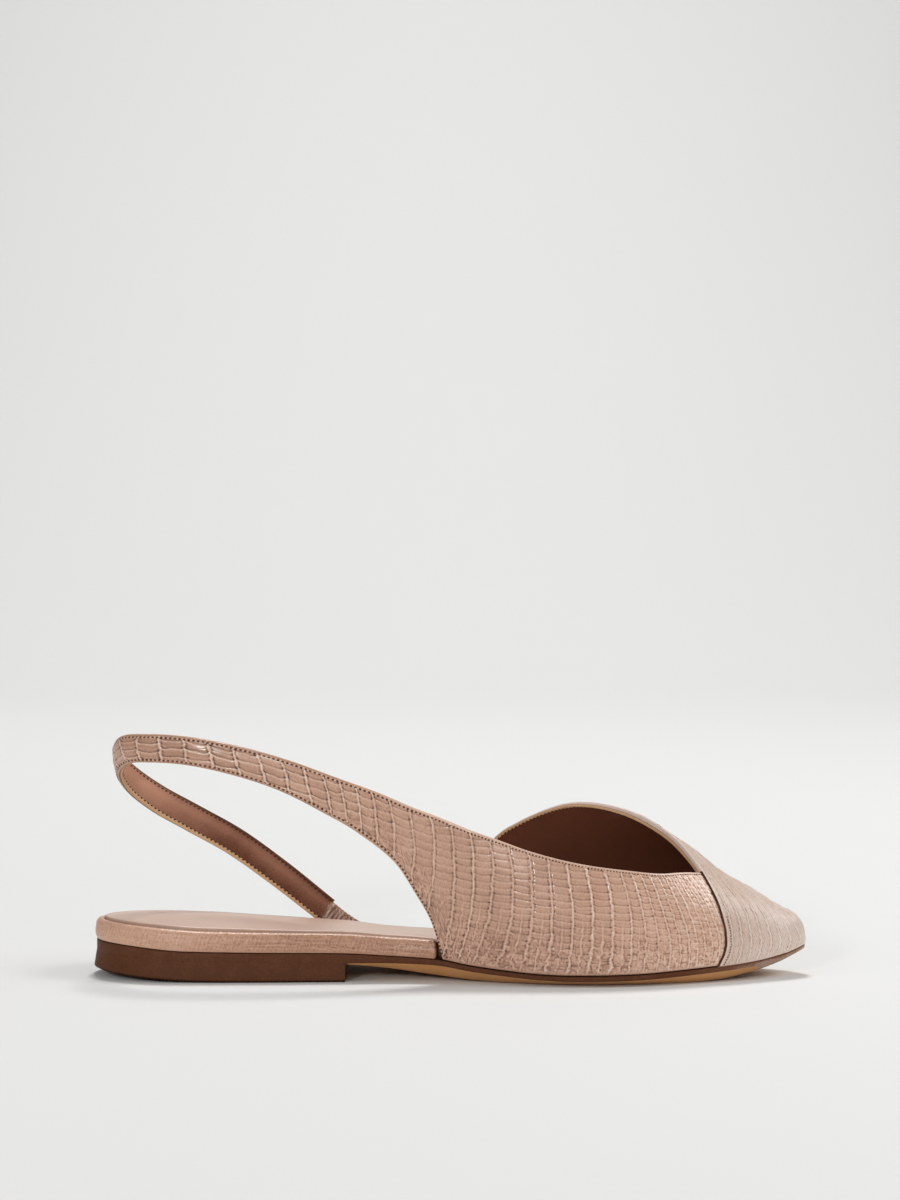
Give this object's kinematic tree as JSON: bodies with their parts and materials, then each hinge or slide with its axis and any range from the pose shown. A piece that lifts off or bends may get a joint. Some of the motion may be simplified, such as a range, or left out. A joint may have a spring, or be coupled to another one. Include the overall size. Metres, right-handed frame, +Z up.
{
  "type": "slingback flat shoe",
  "caption": "Left slingback flat with a pointed toe: a hollow lizard-embossed upper cut in one with its heel sling, on a covered insole, thin sole and low heel.",
  "frame": {"origin": "centre of the bounding box on the floor, under the shoe", "axes": "+X to the toe, +Y to the outer side of the foot, +Z up"},
  "size_m": [0.2622, 0.0756, 0.0892],
  "materials": {
    "lizard_leather": "semi-gloss lizard emboss, blush beige",
    "sock_leather": "smooth satin, beige",
    "sole": "satin tan with a dark brown painted edge",
    "heel": "satin dark brown",
    "elastic": "woven, gathered"
  },
  "bodies": {
    "root": {"upper": "lizard_leather", "covered_insole": "lizard_leather", "insole_sock": "sock_leather", "outsole": "sole", "heel": "heel", "strap_elastic": "elastic"}
  },
  "joints": []
}
